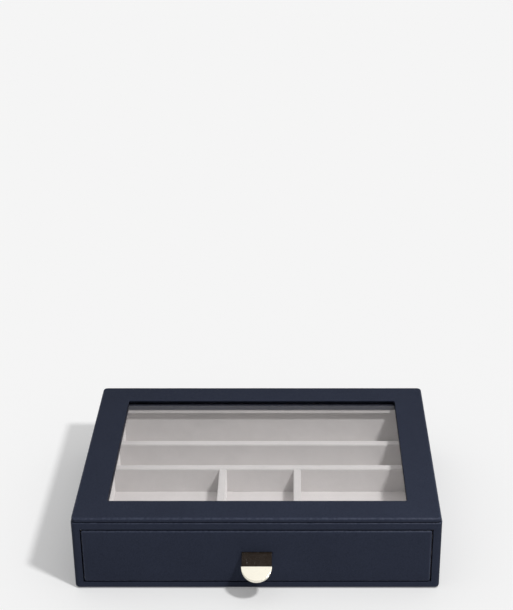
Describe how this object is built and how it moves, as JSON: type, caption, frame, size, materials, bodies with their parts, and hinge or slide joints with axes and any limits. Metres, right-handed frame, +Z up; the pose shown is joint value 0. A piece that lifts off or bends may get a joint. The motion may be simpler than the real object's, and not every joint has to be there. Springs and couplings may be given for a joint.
{
  "type": "display box",
  "caption": "Leather-covered display box with a glass window in its lid and one velvet-lined drawer of long rows and small compartments, opened by a capped leather tab.",
  "frame": {"origin": "centre of the casing's footprint on the table, under the base felt", "axes": "+X to the right along the front, +Z up, the drawer opens towards -Y"},
  "size_m": [0.25, 0.1992, 0.0575],
  "materials": {
    "navy_leather": "dark navy fine-grained leathercloth, low satin sheen",
    "tab_leather": "dark brown-black pebbled leather",
    "gold_cap": "polished pale gold plating",
    "window_glass": "clear float glass",
    "grey_velvet": "light grey short-pile velvet",
    "fibreboard": "raw medium-density fibreboard",
    "dark_bar": "fibreboard painted flat navy black",
    "base_felt": "dark pressed felt"
  },
  "bodies": {
    "casing": {"back_board": "fibreboard", "back_glass_retainer": "grey_velvet", "back_glazing_bar": "dark_bar", "back_lid_board": "fibreboard", "back_lining": "grey_velvet", "base_board": "fibreboard", "base_felt": "base_felt", "base_lining": "grey_velvet", "casing_leather": "navy_leather", "front_glass_retainer": "grey_velvet", "front_glazing_bar": "dark_bar", "front_lid_board": "fibreboard", "front_rail_board": "fibreboard", "glass_pane": "window_glass", "left_glass_retainer": "grey_velvet", "left_glazing_bar": "dark_bar", "left_lid_board": "fibreboard", "left_lining": "grey_velvet", "left_side_board": "fibreboard", "lid_leather": "navy_leather", "right_glass_retainer": "grey_velvet", "right_glazing_bar": "dark_bar", "right_lid_board": "fibreboard", "right_lining": "grey_velvet", "right_side_board": "fibreboard"},
    "drawer": {"drawer_front_board": "fibreboard", "drawer_front_leather": "navy_leather", "drawer_bottom_board": "fibreboard", "left_drawer_side": "grey_velvet", "right_drawer_side": "grey_velvet", "drawer_back": "grey_velvet", "drawer_inner_front": "grey_velvet", "subfloor_board": "fibreboard", "insert_floor": "grey_velvet", "insert_back_wall": "grey_velvet", "insert_front_wall": "grey_velvet", "left_insert_wall": "grey_velvet", "right_insert_wall": "grey_velvet", "rear_long_divider": "grey_velvet", "middle_long_divider": "grey_velvet", "left_cross_divider": "grey_velvet", "right_cross_divider": "grey_velvet", "pull_tab_anchor": "tab_leather"},
    "pull_tab": {"pull_tab_strip": "tab_leather", "pull_tab_cap": "gold_cap"}
  },
  "joints": [
    {"name": "drawer_slide", "type": "slide", "parent": "casing", "child": "drawer", "axis": [0, -1, 0], "range_m": [0, 0.155]},
    {"name": "pull_tab_hinge", "type": "hinge", "parent": "drawer", "child": "pull_tab", "pos_m": [0, -0.0912, 0.0294], "axis": [1, 0, 0], "range_deg": [-80, 45], "stiffness_Nm_per_rad": 0.01}
  ]
}
